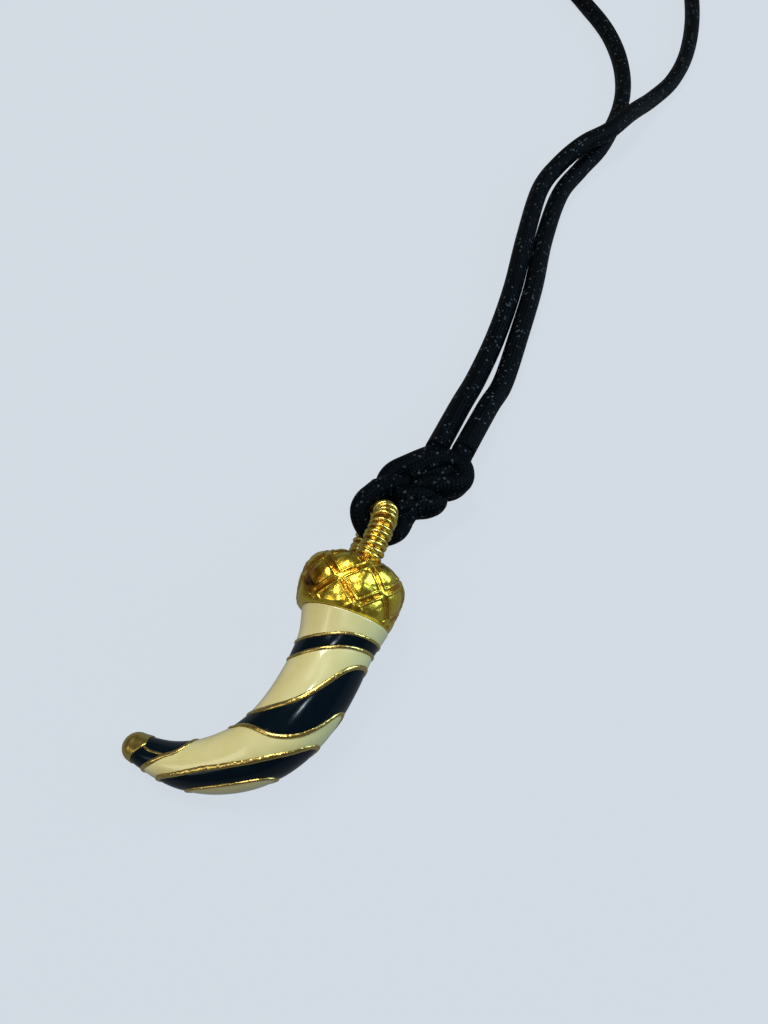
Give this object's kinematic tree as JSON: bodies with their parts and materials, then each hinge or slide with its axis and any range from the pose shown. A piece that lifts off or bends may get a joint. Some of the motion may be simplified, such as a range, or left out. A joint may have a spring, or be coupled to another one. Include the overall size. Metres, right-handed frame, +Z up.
{
  "type": "cornicello horn pendant on a knotted cord",
  "caption": "Curved enamelled horn pendant with gold lines, a quilted cap and a ribbed bail, lying on its side with its knotted neck cord.",
  "frame": {"origin": "on the surface, under the middle of the pendant's bounding box without its cord", "axes": "+Z up from the surface that the pendant lies on, +Y from the horn's bend towards the bail and the cord, +X to the right"},
  "size_m": [0.1184, 0.2961, 0.0139],
  "materials": {
    "gold": "polished gold plate",
    "ivory_enamel": "glossy",
    "black_enamel": "glossy",
    "black_cord": "satin braid"
  },
  "bodies": {
    "root": {"horn_core": "gold", "cream_collar": "ivory_enamel", "black_ring": "black_enamel", "cream_upper": "ivory_enamel", "black_sweep": "black_enamel", "cream_lower": "ivory_enamel", "black_keel": "black_enamel", "cream_belly": "ivory_enamel", "black_tip": "black_enamel", "cap": "gold", "cord_eye": "black_cord", "knot": "black_cord", "cord": "black_cord"}
  },
  "joints": []
}
